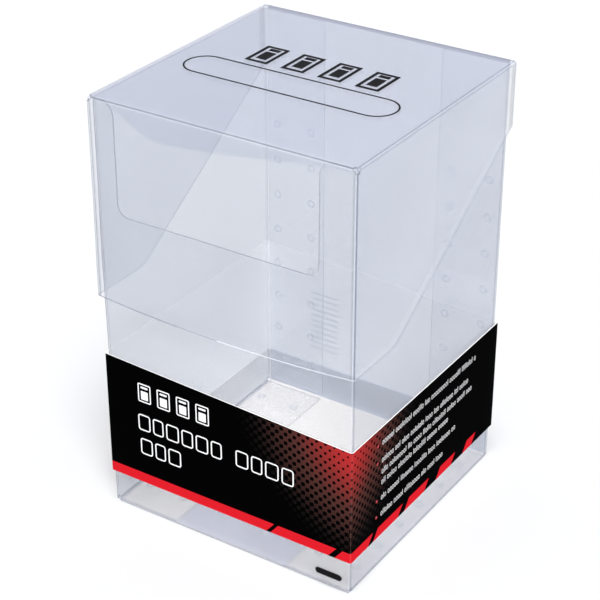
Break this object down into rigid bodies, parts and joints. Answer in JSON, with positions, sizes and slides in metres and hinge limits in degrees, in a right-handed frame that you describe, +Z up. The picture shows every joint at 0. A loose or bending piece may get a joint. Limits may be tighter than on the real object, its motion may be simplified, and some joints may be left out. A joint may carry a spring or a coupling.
{
  "type": "graded card slab storage box",
  "caption": "Clear folded-plastic box for graded card slabs: thumb notch, wrap-over hinged lid with side ears, welded flanges and a sliding printed paper band.",
  "frame": {"origin": "centre of the underside of the base sheet, on the table", "axes": "+Z up; front wall with the thumb notch faces -Y, the lid hinges at the back (+Y), right side faces +X"},
  "size_m": [0.0924, 0.0921, 0.144],
  "materials": {
    "clear_sheet": "clear glossy calendered PVC sheet with crisp creases",
    "weld_dimples": "small glossy spot-weld dimples in the clear sheet",
    "black_ink": "thin satin black screen print",
    "printed_band": "gloss-coated paper printed black outside with red bars and halftone, white inside"
  },
  "bodies": {
    "box": {"front_panel": "clear_sheet", "left_panel": "clear_sheet", "right_panel": "clear_sheet", "back_panel": "clear_sheet", "base_panel": "clear_sheet", "left_back_flange": "clear_sheet", "right_back_flange": "clear_sheet", "left_base_flange": "clear_sheet", "right_base_flange": "clear_sheet", "front_base_flange": "clear_sheet", "left_back_welds_outer": "weld_dimples", "left_back_welds_inner": "weld_dimples", "right_back_welds_outer": "weld_dimples", "right_back_welds_inner": "weld_dimples", "left_base_welds": "weld_dimples", "right_base_welds": "weld_dimples", "size_mark": "black_ink"},
    "lid": {"lid_top_panel": "clear_sheet", "lid_front_flap": "clear_sheet", "lid_left_ear": "clear_sheet", "lid_right_ear": "clear_sheet", "lid_strip_outline": "black_ink", "lid_card_symbol": "black_ink"},
    "band": {"band_front": "printed_band", "band_right": "printed_band", "band_back": "printed_band", "band_left": "printed_band", "band_lap": "printed_band"}
  },
  "joints": [
    {"name": "lid_hinge", "type": "hinge", "parent": "box", "child": "lid", "pos_m": [0, 0.0453, 0.1439], "axis": [-1, 0, 0], "range_deg": [0, 260]},
    {"name": "band_slide", "type": "slide", "parent": "box", "child": "band", "axis": [0, 0, 1], "range_m": [-0.0125, 0.018]}
  ]
}
